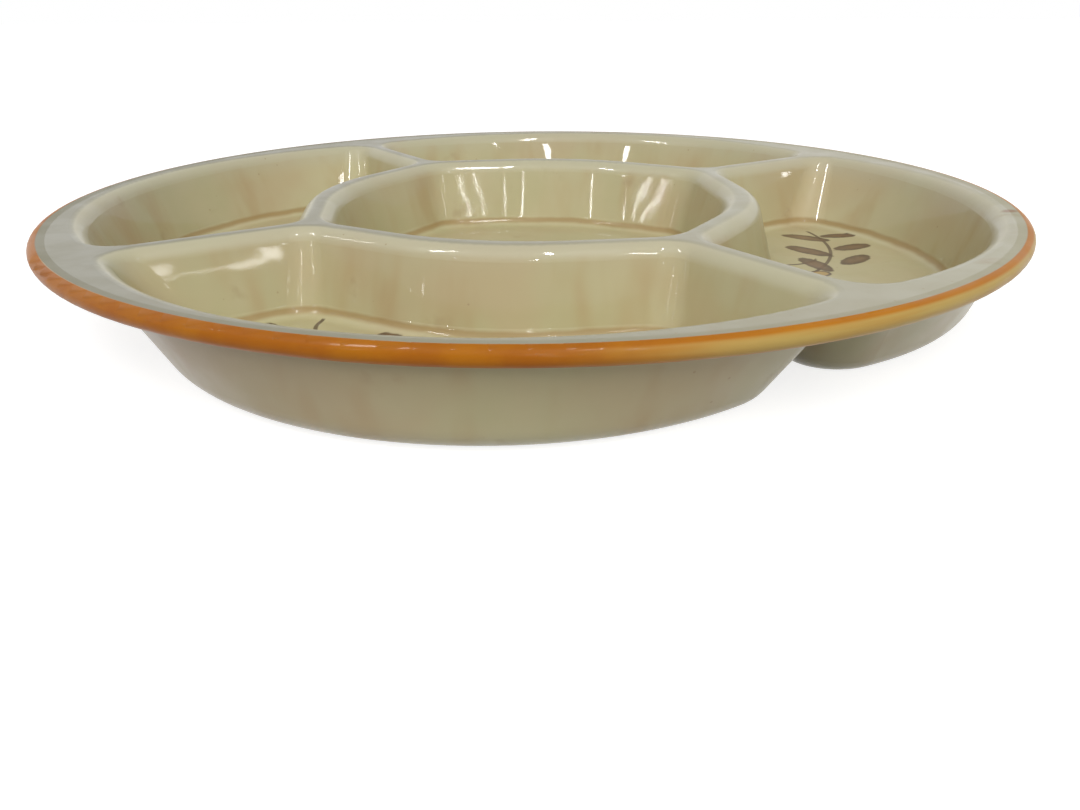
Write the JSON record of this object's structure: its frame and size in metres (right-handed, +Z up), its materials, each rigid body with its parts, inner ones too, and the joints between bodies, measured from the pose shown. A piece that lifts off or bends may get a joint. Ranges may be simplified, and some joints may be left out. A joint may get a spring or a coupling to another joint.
{
  "type": "divided serving dish",
  "caption": "Round shallow glazed stoneware serving dish with a faceted middle bowl, outer wells parted by radial dividers, and a rolled coloured lip.",
  "frame": {"origin": "middle of the resting face, under the middle bowl", "axes": "+Z up through the middle of the dish; the front well is centred on -Y and the dividers lie on the diagonals between X and Y"},
  "size_m": [0.32, 0.32, 0.031],
  "materials": {
    "cream_glaze": "glossy cream olive glaze",
    "orange_glaze": "glossy orange brown glaze"
  },
  "bodies": {
    "root": {"rim_flange": "cream_glaze", "bowl_ridge": "cream_glaze", "front_right_divider": "cream_glaze", "back_right_divider": "cream_glaze", "back_left_divider": "cream_glaze", "front_left_divider": "cream_glaze", "center_bowl": "cream_glaze", "front_well": "cream_glaze", "right_well": "cream_glaze", "back_well": "cream_glaze", "left_well": "cream_glaze", "rim_band": "orange_glaze"}
  },
  "joints": []
}
